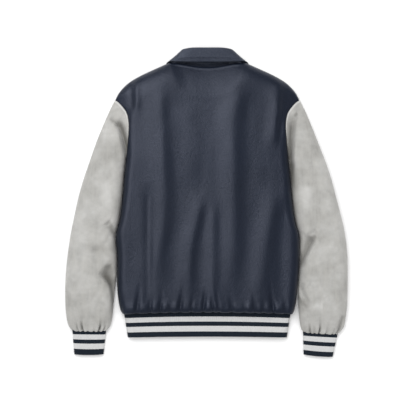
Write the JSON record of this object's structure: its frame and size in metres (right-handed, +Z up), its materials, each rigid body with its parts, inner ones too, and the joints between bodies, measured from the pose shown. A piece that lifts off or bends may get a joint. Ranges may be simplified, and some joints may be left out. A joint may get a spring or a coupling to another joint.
{
  "type": "varsity jacket",
  "caption": "Varsity jacket laid out flat, back up: leather body and fold-over collar, suede sleeves, striped rib-knit hem band and cuffs.",
  "frame": {"origin": "on the surface that the jacket lies on, under the middle of its box", "axes": "+X towards the jacket's right sleeve in the view from above, +Y from the hem to the collar, +Z up from the surface, out of the jacket's back"},
  "size_m": [0.7348, 0.8036, 0.0491],
  "materials": {
    "leather": "semi-gloss",
    "suede": "matte",
    "rib_knit": "matte",
    "snap_metal": "satin"
  },
  "bodies": {
    "root": {"back": "leather", "front_left": "leather", "front_right": "leather", "collar": "leather", "sleeve_left": "suede", "sleeve_right": "suede", "hem_band": "rib_knit", "cuff_left": "rib_knit", "cuff_right": "rib_knit", "snap_1": "snap_metal", "snap_2": "snap_metal", "snap_3": "snap_metal", "snap_4": "snap_metal", "snap_5": "snap_metal", "snap_6": "snap_metal", "snap_7": "snap_metal"}
  },
  "joints": []
}
